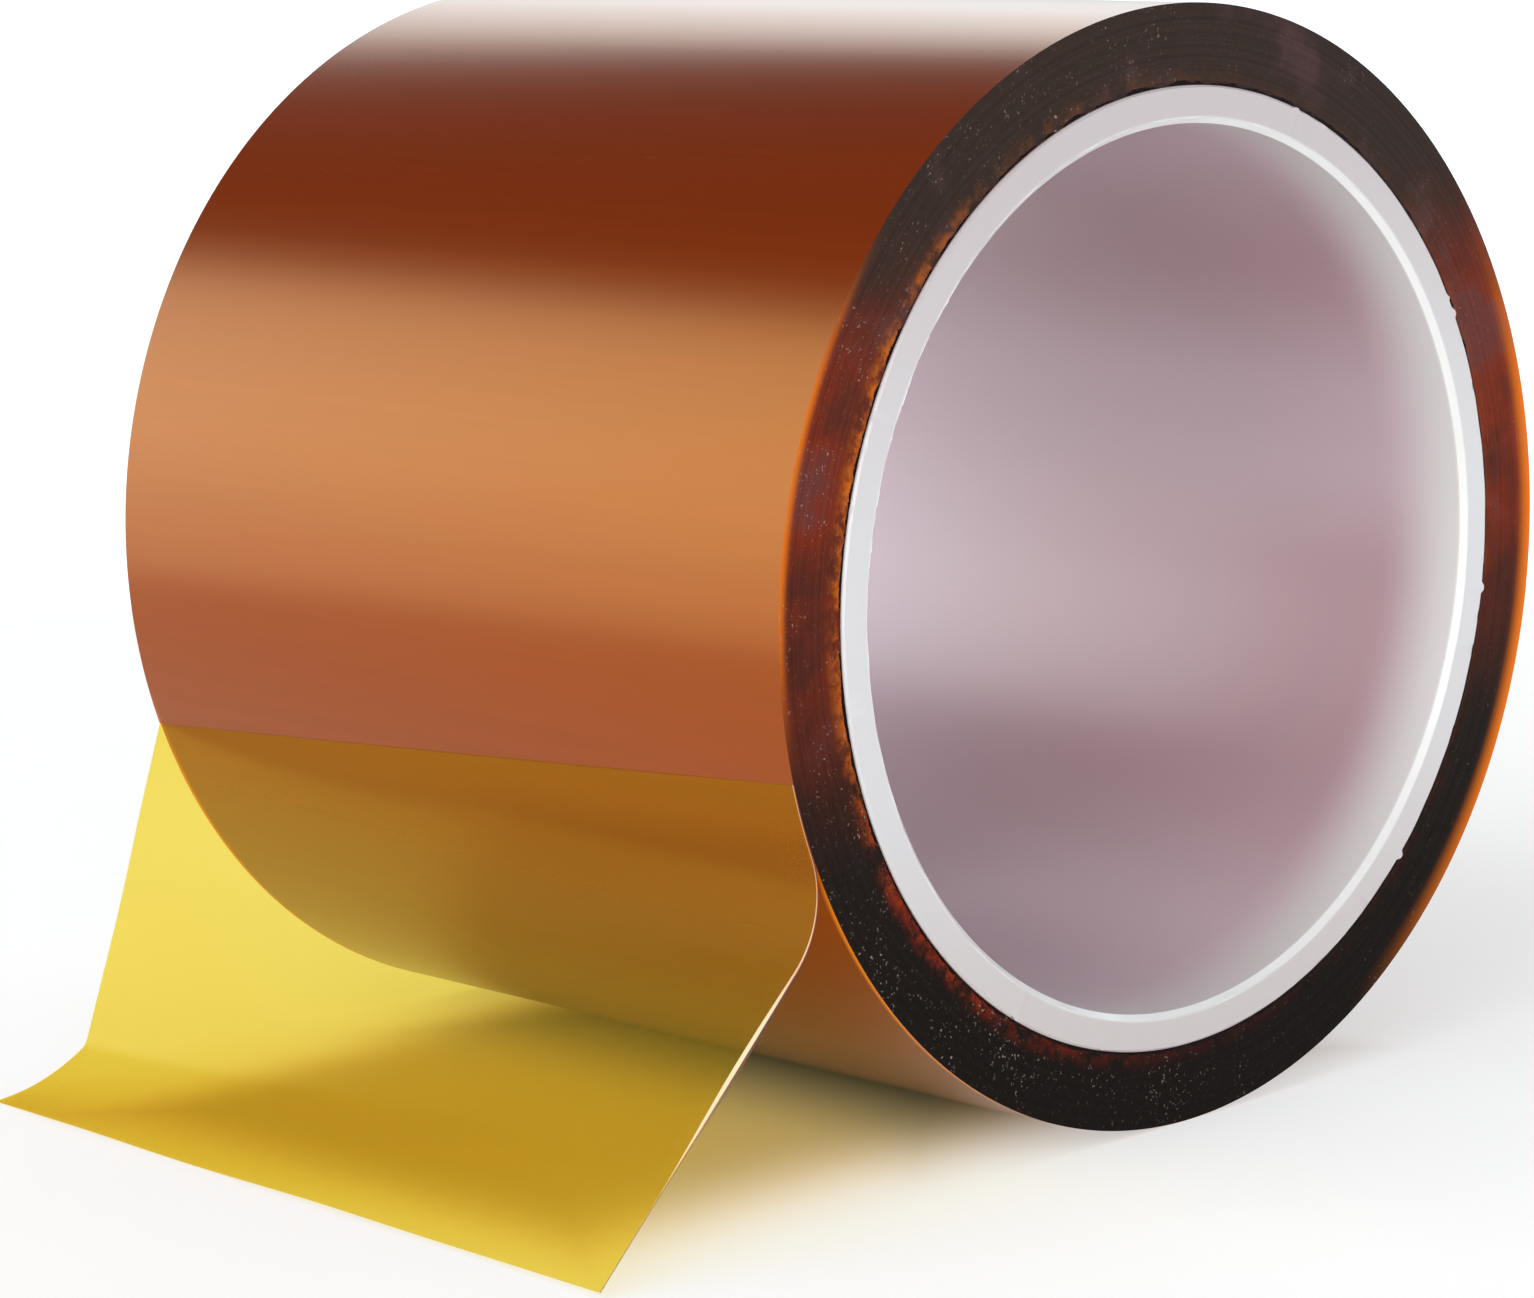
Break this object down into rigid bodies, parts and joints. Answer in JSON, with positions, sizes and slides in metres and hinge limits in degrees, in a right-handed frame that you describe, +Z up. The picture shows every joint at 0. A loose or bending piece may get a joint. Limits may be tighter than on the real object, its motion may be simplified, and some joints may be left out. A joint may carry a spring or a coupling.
{
  "type": "adhesive tape roll",
  "caption": "Roll of amber polyimide film tape on a frosted plastic core, lying on its side with a clear yellow free end peeled off at the front.",
  "frame": {"origin": "on the surface that the roll lies on, below the middle of the whole object's box, free end included", "axes": "+X along the roll's axis, to the right as seen from the front; the free end comes off towards -Y; +Z up"},
  "size_m": [0.0856, 0.1182, 0.0969],
  "materials": {
    "core_plastic": "frosted white plastic tube, slightly see-through to light",
    "wound_tape": "smooth satin amber film over many turns, dark at the cut ends",
    "clear_film": "one clear amber film layer, yellow against the light"
  },
  "bodies": {
    "roll": {"core": "core_plastic", "wound_tape": "wound_tape"},
    "free_end": {"tape_tail": "clear_film"}
  },
  "joints": [
    {"name": "peel_line", "type": "hinge", "parent": "roll", "child": "free_end", "pos_m": [0, -0.03606, 0.03453], "axis": [-0.9977, 0.0194, -0.0652], "range_deg": [0, 110]}
  ]
}
